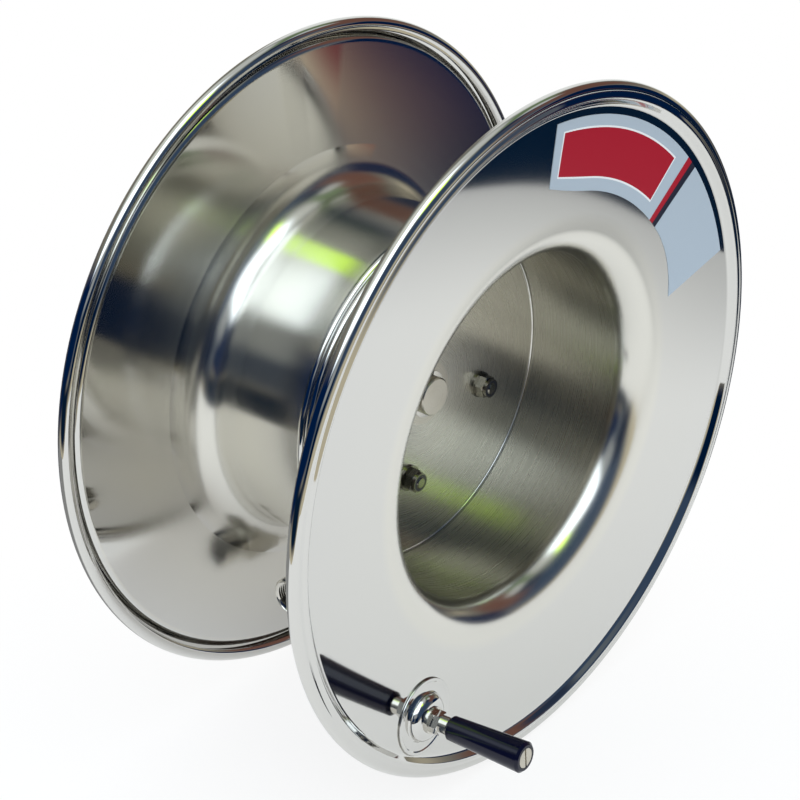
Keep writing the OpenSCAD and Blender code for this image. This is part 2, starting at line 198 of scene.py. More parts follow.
def handle_frame():
    """Frame of the crank handle: z = 0 on the face of the front flange, square to it."""
    scene = bpy.context.scene
    hand = scene.reel_handle
    return (
        drum_frame()
        @ Matrix.Rotation(hand.turn, 4, "Z")
        @ Matrix.Translation((hand.reach, 0, face_height(hand.reach)))
        @ Matrix.Rotation(-scene.reel_drum.dish, 4, "Y")
    )


def outlet_frame():
    """Frame of the outlet's nipple: z = 0 on its inner end, +z out of its mouth, towards -X."""
    low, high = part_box("outlet_nipple")
    inner = (high[0], (low[1] + high[1]) / 2, (low[2] + high[2]) / 2)
    return Matrix.Translation(inner) @ Matrix.Rotation(-math.pi / 2, 4, "Y")


ARC_STEP = math.radians(4)
GUARD = 0.4 * MM  # support points near the ends of a straight run keep its shading flat


def walk(start, heading, bends):
    """Points (r, z, heading) along a line of straight runs and bends, each (run, turn, radius)."""
    r, z = start
    line = [(r, z, heading)]
    for run, turn, radius in bends:
        cos, sin = math.cos(heading), math.sin(heading)
        stops = [GUARD, run - GUARD, run] if run > 3 * GUARD else [run] if run else []
        line += [(r + s * cos, z + s * sin, heading) for s in stops]
        r, z = r + run * cos, z + run * sin
        if not turn:
            continue
        side = math.copysign(radius, turn)
        mid_r, mid_z = r - side * sin, z + side * cos
        steps = math.ceil(abs(turn) / ARC_STEP)
        for i in range(1, steps + 1):
            h = heading + turn * i / steps
            line.append((mid_r + side * math.sin(h), mid_z - side * math.cos(h), h))
        heading += turn
        r, z = line[-1][:2]
    return line


def arc(r, z, wide, tall, first, last, steps):
    """Points (r, z) on an elliptic arc round a middle, from one angle to another."""
    angles = [first + (last - first) * i / steps for i in range(steps + 1)]
    return [(r + wide * math.cos(a), z + tall * math.sin(a)) for a in angles]


def thickened(line, t):
    """Closed outline of a sheet: the line, then its other face at the right, t away."""
    back = [(r + t * math.sin(h), z - t * math.cos(h)) for r, z, h in reversed(line)]
    return [(r, z) for r, z, h in line] + back


def rim_bends():
    """Bends of the rim beyond the flat face, each (run, turn, radius)."""
    bead = bpy.context.scene.reel_drum.bead_r
    rad = math.radians
    return [
        (0, rad(45), 6 * MM),  # up from the face
        (3.8 * MM, rad(-70), 3 * MM),  # over the lip
        (2.2 * MM, rad(34), 2.5 * MM),  # through the groove
        (0.2 * MM, rad(-194), bead),  # round the bead
        (0.4 * MM, rad(-70), bead - 0.5 * MM),  # and in to its rolled edge
    ]


def drum_outline():
    """Inner line of half the drum, and the radius and height at which its flat face ends."""
    drum = bpy.context.scene.reel_drum
    flare = [(0, drum.dish - math.pi / 2, drum.flare_r)]
    barrel_r = drum.barrel_id / 2
    flare_r, flare_z, _ = walk((barrel_r, 0), math.pi / 2, flare)[-1]
    rim = walk((0, 0), drum.dish, rim_bends())
    face_r = drum.flange_d / 2 - max(r for r, z, h in rim)
    face_z = drum.width / 2 - max(z for r, z, h in rim)
    barrel_run = face_z - (face_r - flare_r) * math.tan(drum.dish) - flare_z
    face_run = (face_r - flare_r) / math.cos(drum.dish)
    rest = rim_bends()
    bends = [
        (barrel_run - drum.run_out, 0, 0),
        (drum.run_out, drum.dish - math.pi / 2, drum.flare_r),
        (drum.run_out, 0, 0),
        (face_run - drum.run_out, *rest[0][1:]),
    ]
    return walk((barrel_r, 0), math.pi / 2, bends + rest[1:]), face_r, face_z


def face_height(r):
    """Height of the front flange's face above the drum's middle at radius r."""
    _, face_r, face_z = drum_outline()
    return face_z - (face_r - r) * math.tan(bpy.context.scene.reel_drum.dish)


# ------------------------------------------------------------------ making pieces


def spun(bm, outline, steps=96):
    """Turns a closed outline of (r, z) points once round the z axis of the bmesh."""
    verts = [bm.verts.new((r, 0, z)) for r, z in outline]
    edges = [bm.edges.new(pair) for pair in zip(verts, verts[1:] + verts[:1])]
    bmesh.ops.spin(
        bm, geom=verts + edges, cent=(0, 0, 0), axis=(0, 0, 1), dvec=(0, 0, 0),
        angle=2 * math.pi, steps=steps, use_merge=True, use_duplicate=False,
    )
    bmesh.ops.remove_doubles(bm, verts=bm.verts, dist=0.001 * MM)


def finished(bm, name, matrix, material, sharp=35):
    """Makes an object of a bmesh: normals out, edges past the sharp angle kept crisp."""
    bmesh.ops.dissolve_degenerate(bm, edges=bm.edges, dist=0.0005 * MM)
    bmesh.ops.recalc_face_normals(bm, faces=bm.faces)
    bmesh.ops.transform(bm, matrix=matrix, verts=bm.verts)
    limit = math.radians(sharp)
    for face in bm.faces:
        face.smooth = True
    for edge in bm.edges:
        edge.smooth = edge.calc_face_angle(0) < limit
    mesh = bpy.data.meshes.new(name)
    bm.to_mesh(mesh)
    bm.free()
    piece = bpy.data.objects.new(name, mesh)
    bpy.context.scene.collection.objects.link(piece)
    mesh.materials.append(bpy.data.materials[material])
    return piece


def placed(piece, body, slot, *nodes):
    """Hands a piece to the frame: its body, and hides the nodes that it stands for. Its finish, slot,
    is not used.
    """
    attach(piece, body)
    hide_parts(*nodes)


def cleared(name):
    """Removes an earlier piece of that name, so that an operator can run again."""
    old = bpy.data.objects.get(name)
    if old:
        bpy.data.objects.remove(old, do_unlink=True)
    return name


# ------------------------------------------------------------------ materials


# How deep the lathe's marks are, from 0 on polished steel to 1: inside the barrel, on the flares
# to the front and to the hose, round the barrel, at the rim on the hose's side and on the web
# plate's seam.
INSIDE, FLARE, HOSE_FLARE, OUTSIDE, HOSE_RIM, SEAM = 0.88, 0.62, 0.65, 0.42, 0.34, 0.1


def add(tree, kind, inputs=None, **settings):
    """Adds a node with its settings. An input is linked if it is a socket, and set if not."""
    node = tree.nodes.new(kind)
    for key, value in settings.items():
        setattr(node, key, value)
    for key, value in (inputs or {}).items():
        if isinstance(value, bpy.types.NodeSocket):
            tree.links.new(value, node.inputs[key])
        else:
            node.inputs[key].default_value = value
    return node


def emptied(block):
    """The node tree of a material or a world, with no node left in it."""
    block.use_nodes = True
    block.node_tree.nodes.clear()
    return block.node_tree


def surface(name, values, links=None):
    """A new material with one principled shader: plain values, then linked sockets."""
    material = bpy.data.materials.get(name) or bpy.data.materials.new(name)
    tree = emptied(material)
    shader = add(tree, "ShaderNodeBsdfPrincipled", values)
    add(tree, "ShaderNodeOutputMaterial", {"Surface": shader.outputs[0]})
    for key, make in (links or {}).items():
        tree.links.new(make(tree), shader.inputs[key])


def rgba(rgb):
    """A colour with full alpha."""
    return (*rgb, 1)


WANDER = 0.004  # how far a ring strays from round, as a share of the distance from the axis


def lathe_lines(spacing, low, high):
    """Value from low to high in fine rings round the drum's axis, spacing metres apart."""

    def make(tree):
        place = add(tree, "ShaderNodeTexCoord").outputs["Object"]
        flat = add(tree, "ShaderNodeVectorMath", {0: place, 1: (1, 0, 1)}, operation="MULTIPLY")
        radius = add(tree, "ShaderNodeVectorMath", {0: flat.outputs[0]}, operation="LENGTH")
        along = add(tree, "ShaderNodeSeparateXYZ", {0: place}).outputs["Y"]
        drift = add(
            tree, "ShaderNodeVectorMath", {0: flat.outputs[0], "Scale": WANDER}, operation="SCALE"
        )
        rings = add(tree, "ShaderNodeCombineXYZ", {"X": radius.outputs["Value"], "Y": along})
        spot = add(
            tree, "ShaderNodeVectorMath", {0: rings.outputs[0], 1: drift.outputs[0]},
            operation="ADD",
        )
        noise = add(
            tree, "ShaderNodeTexNoise",
            {"Vector": spot.outputs[0], "Scale": 1 / spacing, "Detail": 4, "Roughness": 0.6},
        )
        return add(
            tree, "ShaderNodeMapRange",
            {"Value": noise.outputs[0], "From Min": 0.3, "From Max": 0.7,
             "To Min": low, "To Max": high},
        ).outputs[0]

    return make


def radial_tangent(tree):
    """Direction of the lathe's marks: round the drum's axis."""
    return add(tree, "ShaderNodeTangent", direction_type="RADIAL", axis="Y").outputs[0]


def brushed(tree):
    """Depth of the lathe's marks, which each vertex of a spun piece holds."""
    return add(
        tree, "ShaderNodeAttribute", attribute_name="brushed", attribute_type="GEOMETRY"
    ).outputs["Fac"]


def drum_roughness(tree):
    """Near mirror where the sheet is polished, fine rings where it is marked."""
    # real marks are about 0.2 mm apart, too fine to show, so these are drawn coarser
    marks = lathe_lines(0.9 * MM, 0.28, 0.34)(tree)
    return add(
        tree, "ShaderNodeMix", {0: brushed(tree), 2: 0.045, 3: marks}, data_type="FLOAT"
    ).outputs[0]


def drum_colour(tree):
    """The polished colour, taken to the brushed and then the marked one as the marks deepen."""
    steel = bpy.context.scene.reel_steel
    tint = rgba(steel.polished)
    for low, high, deeper in ((0, 0.4, steel.brushed), (0.75, INSIDE, steel.marked)):
        share = add(
            tree, "ShaderNodeMapRange", {"Value": brushed(tree), "From Min": low, "From Max": high}
        )
        tint = add(
            tree, "ShaderNodeMix", {0: share.outputs[0], 6: tint, 7: rgba(deeper)},
            data_type="RGBA",
        ).outputs[2]
    return tint


# Printed areas of the film: name, start and end along it from its upper end, start and end
# across it from its inner edge, all as shares, and the colour's name in the film's settings.
PRINT = (
    ("keyline", 0.029, 0.574, 0.165, 0.855, "keyline"),
    ("panel", 0.034, 0.569, 0.19, 0.83, "panel"),
    ("red band", 0.625, 0.65, -1, 2, "panel"),
    ("dark band", 0.65, 0.675, -1, 2, "band"),
)


def film_print(tree):
    """The film's bare ground with its plain panel and bands, laid out on its own UV map."""
    plate = bpy.context.scene.reel_plate
    spot = add(tree, "ShaderNodeUVMap", uv_map="film").outputs[0]
    ink = rgba(plate.ground)
    for name, left, right, low, high, tint in PRINT:
        middle = ((left + right) / 2, (low + high) / 2, 0)
        half = ((right - left) / 2, (high - low) / 2, 1)
        off = add(tree, "ShaderNodeVectorMath", {0: spot, 1: middle}, operation="SUBTRACT")
        part = add(tree, "ShaderNodeVectorMath", {0: off.outputs[0], 1: half}, operation="DIVIDE")
        size = add(tree, "ShaderNodeVectorMath", {0: part.outputs[0]}, operation="ABSOLUTE")
        sides = add(tree, "ShaderNodeSeparateXYZ", {0: size.outputs[0]})
        far = add(tree, "ShaderNodeMath", {0: sides.outputs[0], 1: sides.outputs[1]},
                  operation="MAXIMUM")
        inside = add(tree, "ShaderNodeMath", {0: far.outputs[0], 1: 1}, operation="LESS_THAN")
        ink = add(
            tree, "ShaderNodeMix",
            {0: inside.outputs[0], 6: ink, 7: rgba(getattr(plate, tint))},
            data_type="RGBA", label=name,
        ).outputs[2]
    return ink


class REEL_OT_materials(bpy.types.Operator):
    """Makes every finish, from the steels to the nameplate's film"""

    bl_idname = "reel.materials"
    bl_label = "Materials"

    def execute(self, context):
        steel = context.scene.reel_steel

        # AISI 304 sheet, spun on a lathe. Buffed where its marks have depth 0: a near mirror.
        # Elsewhere the marks run round the axis and smear reflections along the radius.
        surface(
            "spun_stainless",
            {"Metallic": 1, "Anisotropic": 0.7, "Anisotropic Rotation": 0.25},
            {"Base Color": drum_colour, "Roughness": drum_roughness, "Tangent": radial_tangent},
        )
        # The same steel turned and left satin: the spindle, its flange and washer, a screw's head.
        surface(
            "turned_stainless",
            {"Base Color": rgba(steel.turned), "Metallic": 1, "Anisotropic": 0.5,
             "Anisotropic Rotation": 0.25},
            {"Roughness": lathe_lines(0.8 * MM, 0.25, 0.35), "Tangent": radial_tangent},
        )
        # A2 fasteners, cold formed and tumbled: smooth with a soft edge to reflections.
        surface(
            "bright_stainless",
            {"Base Color": rgba(steel.bright), "Metallic": 1, "Roughness": 0.14},
        )
        # Hub bolts, nuts and washers: steel coloured darker than the steel round them, a painted dark
        # reflection of the dark surroundings that they reflect.
        surface(
            "zinc_plate",
            {"Base Color": rgba(steel.painted_dark_tone), "Metallic": 1, "Roughness": 0.18},
        )
        # Small pressed or turned parts that were buffed: full mirror.
        surface(
            "buffed_stainless",
            {"Base Color": rgba(steel.polished), "Metallic": 1, "Roughness": 0.05},
        )
        # Gunmetal casting with turned faces: warm and half dull.
        surface(
            "cast_gunmetal",
            {"Base Color": rgba(steel.gunmetal), "Metallic": 1, "Roughness": 0.38},
        )
        # Nitrile rubber: black, matt.
        surface(
            "moulded_nitrile",
            {"Base Color": rgba(linear("#1A1A1B")), "Roughness": 0.6, "IOR": 1.52},
        )
        # Polyamide ring of a locking nut: dark and slightly waxy.
        surface(
            "moulded_polyamide",
            {"Base Color": rgba(linear("#11141F")), "Roughness": 0.35, "IOR": 1.53},
        )
        # Phenolic grip, compression moulded: black with a glassy skin.
        surface(
            "moulded_phenolic",
            {"Base Color": rgba(linear("#080A20")), "Roughness": 0.14, "IOR": 1.5,
             "Specular IOR Level": 0.3},
        )
        # Polyester film, printed on the back: satin, flat colours.
        surface(
            "printed_film",
            {"Roughness": 0.4, "IOR": 1.5, "Specular IOR Level": 0.25},
            {"Base Color": film_print},
        )
        return {"FINISHED"}


CARRIED = {
    "turned_stainless": ("wall_flange", "spindle", "handle_screw", "retaining_washer"),
    "buffed_stainless": ("handle_nut",),
    "bright_stainless": (
        "circlip", "outlet_pipe", "bulkhead_nut", "outlet_elbow", "handle_washer",
        "handle_collar", "backing_washer", "backing_nut",
    ),
    # the hub's fasteners take the steel with the painted dark reflection
    "zinc_plate": ("hub_bolts", "hub_washers", "hub_nuts"),
    "cast_gunmetal": ("thrust_washer", "hub", "front_bush", "rear_bush"),
    "moulded_nitrile": ("seal_rings", "barrel_seals"),
    "moulded_polyamide": ("nut_inserts",),
    "moulded_phenolic": ("handle_grip",),
}


class REEL_OT_carried(bpy.types.Operator):
    """Gives the frame's own pieces their finishes"""

    bl_idname = "reel.carried"
    bl_label = "Frame pieces"

    def execute(self, context):
        for name, nodes in CARRIED.items():
            for node in nodes:
                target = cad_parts[node]
                if not target.material_slots:
                    target.data.materials.append(None)
                for place in target.material_slots:
                    place.material = bpy.data.materials[name]
        return {"FINISHED"}


# ------------------------------------------------------------------ the drum


def drum_half(name, matrix):
    """One spun flange with its half of the barrel, and where it is brushed or polished."""
    drum = bpy.context.scene.reel_drum
    line, face_r, _ = drum_outline()
    outline = thickened(line, drum.sheet_t)
    bm = bmesh.new()
    spun(bm, outline, steps=180)
    marks = bm.verts.layers.float.new("brushed")
    front = {(round(r, 6), round(z, 6)): i < len(line) for i, (r, z) in enumerate(outline)}
    barrel_end = max(z for r, z, heading in line if heading > math.radians(89.9))
    flare_r = drum.barrel_id / 2 + drum.flare_r
    lip_r = face_r + 2 * MM
    for vert in bm.verts:
        r, z = math.hypot(vert.co.x, vert.co.y), vert.co.z
        if front.get((round(r, 6), round(z, 6)), True):
            # the flare keeps its marks, which run out over a short way on the polished face
            past = between(r, flare_r, flare_r + drum.run_out)
            vert[marks] = INSIDE if z < barrel_end + GUARD else FLARE * (1 - past)
        elif z < barrel_end - drum.run_out:
            vert[marks] = OUTSIDE
        elif r > lip_r:
            vert[marks] = 0
        else:
            # on the hose's side the marks thin out all the way to the rim
            past = between(r, flare_r, face_r)
            vert[marks] = HOSE_FLARE + (HOSE_RIM - HOSE_FLARE) * past
    return finished(bm, cleared(name), matrix, "spun_stainless")


class REEL_OT_flanges(bpy.types.Operator):
    """Spins both flanges with their halves of the barrel"""

    bl_idname = "reel.flanges"
    bl_label = "Flanges"

    def execute(self, context):
        front = drum_half("front_flange_spun", drum_frame())
        placed(front, "drum", "stainless_polished", "front_flange")
        rear = drum_half("rear_flange_spun", drum_frame() @ Matrix.Scale(-1, 4, (0, 0, 1)))
        rear.data.flip_normals()
        placed(rear, "drum", "stainless_brushed", "rear_flange")
        return {"FINISHED"}


class REEL_OT_web(bpy.types.Operator):
    """Spins the web plate inside the barrel"""

    bl_idname = "reel.web"
    bl_label = "Web plate"

    def execute(self, context):
        drum = context.scene.reel_drum
        hole_r, seam_r = 17 * MM, 1.1 * MM
        flat = drum.barrel_id / 2 - 2 * seam_r
        # the plate's edge is rolled up a little before it turns back along the barrel
        foot_r, rise = 0.4 * seam_r, 0.2 * seam_r
        bends = [
            (flat - hole_r - foot_r, math.radians(60), foot_r),
            (rise, math.radians(-150), seam_r),
            (drum.web_rim - seam_r, 0, 0),
        ]
        bm = bmesh.new()
        spun(bm, thickened(walk((hole_r, 0), 0, bends), drum.web_t), steps=144)
        marks = bm.verts.layers.float.new("brushed")
        for vert in bm.verts:
            vert[marks] = INSIDE if math.hypot(vert.co.x, vert.co.y) < flat else SEAM
        piece = finished(bm, cleared("web_plate_spun"), drum_frame(), "spun_stainless")
        placed(piece, "drum", "stainless_brushed", "web_plate")
        return {"FINISHED"}


class REEL_OT_band(bpy.types.Operator):
    """Spins the ribbed band over the barrel's joint"""

    bl_idname = "reel.band"
    bl_label = "Joint band"

    def execute(self, context):
        drum = context.scene.reel_drum
        barrel = drum.barrel_id / 2 + drum.sheet_t
        rib = drum.band_rib_r
        sunk, pitch, rear = 0.45 * rib, 1.75 * rib, -0.35 * rib
        reach = math.acos(sunk / rib)
        cross = math.pi / 2 - math.acos(pitch / 2 / rib)
        # two ribs: up from the barrel to the groove between them, and down to it again
        outline = arc(barrel - sunk, rear, rib, rib, -reach, cross, 24)
        outline += arc(barrel - sunk, rear + pitch, rib, rib, -cross, reach, 24)
        bm = bmesh.new()
        spun(bm, outline, steps=180)
        piece = finished(bm, cleared("joint_band_rolled"), drum_frame(), "buffed_stainless", 50)
        placed(piece, "drum", "stainless_polished", "joint_band")
        return {"FINISHED"}


# ------------------------------------------------------------------ the outlet


def hexagonal(bm, across_flats, low, high):
    """Flattens the round band between two heights to a hexagon with turned-off corners."""
    for vert in bm.verts:
        r = math.hypot(vert.co.x, vert.co.y)
        if r > across_flats / 2 and low - MM < vert.co.z < high + MM:
            a = math.atan2(vert.co.y, vert.co.x) % (math.pi / 3) - math.pi / 6
            scale = min(1, across_flats / 2 / math.cos(a) / r)
            vert.co.x, vert.co.y = vert.co.x * scale, vert.co.y * scale


class REEL_OT_outlet(bpy.types.Operator):
    """Turns the outlet's nipple with its hexagon and thread"""

    bl_idname = "reel.outlet"
    bl_label = "Outlet nipple"

    def execute(self, context):
        nipple = context.scene.reel_outlet
        end = across("outlet_nipple", 0)
        hex_end = end - nipple.thread_len
        corner, flat = nipple.hexagon / math.sqrt(3), nipple.hexagon / 2
        bore, crest, turn = nipple.bore / 2, nipple.thread_d / 2, nipple.pitch
        root, shoulder = crest - 0.64 * turn, crest - 0.1 * turn
        slope, neck, lead, chamfer = 1.5 * MM, 2.5 * MM, 0.5 * MM, 0.6 * MM
        outline = [(bore, 0), (flat, 0), (corner, slope), (corner, hex_end - slope),
                   (flat, hex_end), (root, hex_end)]
        turns = int((nipple.thread_len - neck) / turn)
        start = end - turns * turn - lead
        for i in range(turns):
            # one turn, by shares of the pitch: flank up, rounded crest, flank down
            for share, r in ((0.06, root), (0.42, shoulder), (0.5, crest),
                             (0.58, shoulder), (0.94, root)):
                outline.append((r, start + (i + share) * turn))
        wide = nipple.inner_d / 2
        outline += [(root, end), (wide + chamfer, end), (wide, end - chamfer)]
        for i in range(int(nipple.inner_len / turn)):
            for share, r in ((0.06, wide), (0.44, bore), (0.56, bore), (0.94, wide)):
                outline.append((r, end - chamfer - (i + share) * turn))
        outline.append((bore, end - nipple.inner_len - turn))
        bm = bmesh.new()
        spun(bm, outline, steps=96)
        hexagonal(bm, nipple.hexagon, 0, hex_end)
        piece = finished(bm, cleared("outlet_nipple_threaded"), outlet_frame(), "bright_stainless")
        placed(piece, "drum", "stainless_bright", "outlet_nipple")
        return {"FINISHED"}


# ------------------------------------------------------------------ the nameplate


class REEL_OT_nameplate(bpy.types.Operator):
    """Lays the nameplate's printed film on the front flange"""

    bl_idname = "reel.nameplate"
    bl_label = "Nameplate"

    def execute(self, context):
        plate = context.scene.reel_plate
        sweep = plate.last - plate.first
        # how far the inner edge swings out by the upper end and in by the lower, and the shares
        # of the film's length where the one swing ends and the other starts
        out_by, in_by, out_end, in_start = 0.9 * plate.tip, plate.tip, 0.2, 0.7
        bm = bmesh.new()
        edge = [bm.verts.new((r * math.cos(plate.first), r * math.sin(plate.first), 0))
                for r in (plate.r_in, plate.r_out)]
        bmesh.ops.spin(
            bm, geom=edge + [bm.edges.new(edge)], cent=(0, 0, 0), axis=(0, 0, 1),
            dvec=(0, 0, 0), angle=sweep, steps=72, use_duplicate=False,
        )
        film = bm.loops.layers.uv.new("film")
        for vert in bm.verts:
            r = math.hypot(vert.co.x, vert.co.y)
            share = (plate.last - math.atan2(vert.co.y, vert.co.x)) / sweep
            for loop in vert.link_loops:
                loop[film].uv = (share, (r - plate.r_in) / (plate.r_out - plate.r_in))
            if r < (plate.r_in + plate.r_out) / 2:
                swing = out_by * (1 - between(share, 0, out_end)) ** 2
                swing -= in_by * between(share, in_start, 1) ** 2
                vert.co.x, vert.co.y = vert.co.x * (1 + swing / r), vert.co.y * (1 + swing / r)
                r += swing
            vert.co.z = face_height(r)
        bmesh.ops.recalc_face_normals(bm, faces=bm.faces)
        if bm.faces[:][0].normal.z < 0:
            bmesh.ops.reverse_faces(bm, faces=bm.faces)
        bmesh.ops.solidify(bm, geom=bm.faces, thickness=-plate.film_t)
        piece = finished(bm, cleared("nameplate_film"), drum_frame(), "printed_film")
        placed(piece, "drum", "plate_film", "nameplate")
        return {"FINISHED"}


# ------------------------------------------------------------------ the crank handle


class REEL_OT_handle(bpy.types.Operator):
    """Presses the boss cup of the crank handle"""

    bl_idname = "reel.handle"
    bl_label = "Crank handle"

    def execute(self, context):
        hand = context.scene.reel_handle
        seat, bore = 0.2 * MM, 5 * MM
        pan_r, pan_t, pan_edge = 28 * MM, 0.9 * MM, 0.9 * MM
        dome_r, dome_foot, top_r = 20 * MM, MM, 11.5 * MM
        roll, dome_t = hand.brim_t / 2, hand.boss_h - seat - pan_t
        # over the rolled brim, down to the pan, and up again over the dome
        outline = [(bore, 0)]
        outline += arc(hand.boss_r - roll, roll, roll, roll, -math.pi / 2, math.pi / 2, 10)
        outline += [(pan_r + pan_edge, hand.brim_t), (pan_r, pan_t), (dome_r + dome_foot, pan_t)]
        outline += arc(top_r, pan_t, dome_r - top_r, dome_t, 0, math.pi / 2, 14)[1:]
        outline.append((bore, pan_t + dome_t))
        bm = bmesh.new()
        spun(bm, outline)
        place = handle_frame() @ Matrix.Translation((0, 0, seat))
        boss = finished(bm, cleared("boss_cup_pressed"), place, "buffed_stainless")
        placed(boss, "drum", "stainless_polished", "handle_boss")
        return {"FINISHED"}


# ------------------------------------------------------------------ the stage


# The room round the reel, from the floor up: name, the two elevations between which it comes
# in, and its colour.
ROOM = (
    ("boards", -90, -89, "#CEC6AE"),
    ("wall", -5, 10, "#827F76"),
    ("upper_wall", 25, 45, "#8A8F8A"),
    ("ceiling", 50, 66, "#D2D6D4"),
)

PATCH_DEPTH = 1.2  # in the patch's own frame: keeps the directions behind the reel out of it

# What stands or hangs in the room: name, azimuth and elevation of its middle, half its width and
# half its height, its roll, the share of it that fades out, its colour and its strength. Angles
# are in degrees, azimuth 0 is +Y and 90 is +X.
STUDIO = (
    ("dark_carpet", 52, -34, 55, 22, 0, 0.25, "#0C2036", 1),
    ("dark_curtain", -72, 11, 78, 19.5, 17, 0.25, "#02204A", 1),
    ("grey_screen", -127, 4, 9, 11, 0, 0.4, "#70757A", 1),
    ("blue_screen", 178, 22, 50, 22, 0, 0.35, "#3C4E68", 1),
    ("dark_chair", -144, 3, 13, 13, 0, 0.3, "#001A3A", 1),
    ("grey_blind", -124, 27, 14, 10, 0, 0.45, "#A4AAAE", 1),
    ("dark_bench", -98, -12, 34, 9, 0, 0.3, "#0A2038", 1),
    ("brown_door", 110, 27, 23, 14, 0, 0.35, "#75544A", 1),
    ("green_board", 98, 50, 18, 9, 0, 0.4, "#748868", 1),
    ("slate_panel", 134, 40, 10, 8, 0, 0.4, "#2E3A50", 1),
    ("white_door", 57, 15, 17, 33, 0, 0.25, "#F2F5F5", 1.1),
    ("red_box", 121.9, -8.4, 13.3, 10.5, -31, 0.12, "#7A4848", 1),
    ("dark_box", 119.4, -4.1, 13.8, 13, -31, 0.08, "#021E44", 1),
    ("white_door_edge", 117, 41, 6, 7, 0, 0.4, "#C8CCCC", 1),
    ("dark_mat", 110, -31, 24, 13, 0, 0.2, "#0A2038", 1),
    ("window", -108, 64, 28, 28, 12, 0.16, "#E8F4FF", 2.8),
    ("skylight", -28, 62, 26, 16, 0, 0.4, "#DCE0D8", 1.1),
    ("green_lamp", 176, 58, 5.5, 6, 0, 0.4, "#C0F048", 2.8),
)


def room_light(tree):
    """Colour of the room for each direction: its levels, then the patches over them."""
    aim = add(tree, "ShaderNodeTexCoord").outputs["Generated"]
    height = add(tree, "ShaderNodeSeparateXYZ", {0: aim}).outputs["Z"]
    light = rgba((0, 0, 0))
    for name, low, high, code in ROOM:
        level = add(
            tree, "ShaderNodeMapRange",
            {"Value": height, "From Min": math.sin(math.radians(low)),
             "From Max": math.sin(math.radians(high))},
            interpolation_type="SMOOTHSTEP",
        )
        light = add(
            tree, "ShaderNodeMix", {0: level.outputs[0], 6: light, 7: rgba(linear(code))},
            data_type="RGBA", label=name,
        ).outputs[2]
    for name, azimuth, elevation, wide, tall, roll, fade, code, strength in STUDIO:
        turn = (
            Matrix.Rotation(-math.radians(azimuth), 3, "Z")
            @ Matrix.Rotation(math.radians(elevation), 3, "X")
            @ Matrix.Rotation(math.radians(roll), 3, "Y")
        )
        # places the direction in the patch's own frame, where its edge is 1 from the middle
        place = add(
            tree, "ShaderNodeMapping",
            {"Vector": aim, "Location": turn @ Vector((0, 1, 0)), "Rotation": turn.to_euler(),
             "Scale": (math.sin(math.radians(wide)), PATCH_DEPTH, math.sin(math.radians(tall)))},
            vector_type="TEXTURE",
        ).outputs[0]
        square = add(tree, "ShaderNodeVectorMath", {0: place, 1: place}, operation="MULTIPLY")
        reach = add(tree, "ShaderNodeVectorMath", {0: square.outputs[0]}, operation="LENGTH")
        inside = add(
            tree, "ShaderNodeMapRange",
            {"Value": reach.outputs["Value"], "From Min": (1 + fade) ** 2,
             "From Max": (1 - fade) ** 2},
            interpolation_type="SMOOTHSTEP",
        )
        tint = [part * strength for part in linear(code)]
        light = add(
            tree, "ShaderNodeMix", {0: inside.outputs[0], 6: light, 7: rgba(tint)},
            data_type="RGBA", label=name,
        ).outputs[2]
    return light


# The window's side, from which the plain light is stronger, and that light's strength on the
# far side and on this one.
WINDOW_SIDE = (-0.56, -0.32, 0.77)
PLAIN_LIGHT = (0.02, 1.42)


def studio_light(tree):
    """White behind the reel, plain soft light on what is not metal, the room in reflections."""
    path = add(tree, "ShaderNodeLightPath").outputs
    aim = add(tree, "ShaderNodeTexCoord").outputs["Generated"]
    side = add(tree, "ShaderNodeVectorMath", {0: aim, 1: WINDOW_SIDE}, operation="DOT_PRODUCT")
    power = add(
        tree, "ShaderNodeMapRange",
        {"Value": side.outputs["Value"], "From Min": -1,
         "To Min": PLAIN_LIGHT[0], "To Max": PLAIN_LIGHT[1]},
    )
    white = add(tree, "ShaderNodeBackground", {"Color": WHITE, "Strength": 1})
    soft = add(tree, "ShaderNodeBackground", {"Color": WHITE, "Strength": power.outputs[0]})
    room = add(tree, "ShaderNodeBackground", {"Color": room_light(tree), "Strength": 1})
    lit = add(
        tree, "ShaderNodeMixShader",
        {0: path["Is Diffuse Ray"], 1: room.outputs[0], 2: soft.outputs[0]},
    )
    both = add(
        tree, "ShaderNodeMixShader",
        {0: path["Is Camera Ray"], 1: lit.outputs[0], 2: white.outputs[0]},
    )
    add(tree, "ShaderNodeOutputWorld", {"Surface": both.outputs[0]})


# Directions on the floor: square to the paper's two slanted edges, and away from the reel.
FAR_SIDE = Vector((1, 1, 0)).normalized()
NEAR_SIDE = Vector((1, -math.sqrt(3), 0)).normalized()
AWAY = Vector((1, -1, 0)).normalized()

# In reflections the paper is painted grey away from the reel, a painted fall-off of the light, and
# behind the drum's middle, a painted shade where the wall's shade begins: the distances between which
# it does, and the share of its white that is left.
FALL_OFF = (0.75, 1.15, 0.6)
WALL_SHADE = (0, 0.08, 0.3)
SHADOW_FADE = 0.3  # distance over which the shadow thins out before the far slanted edge


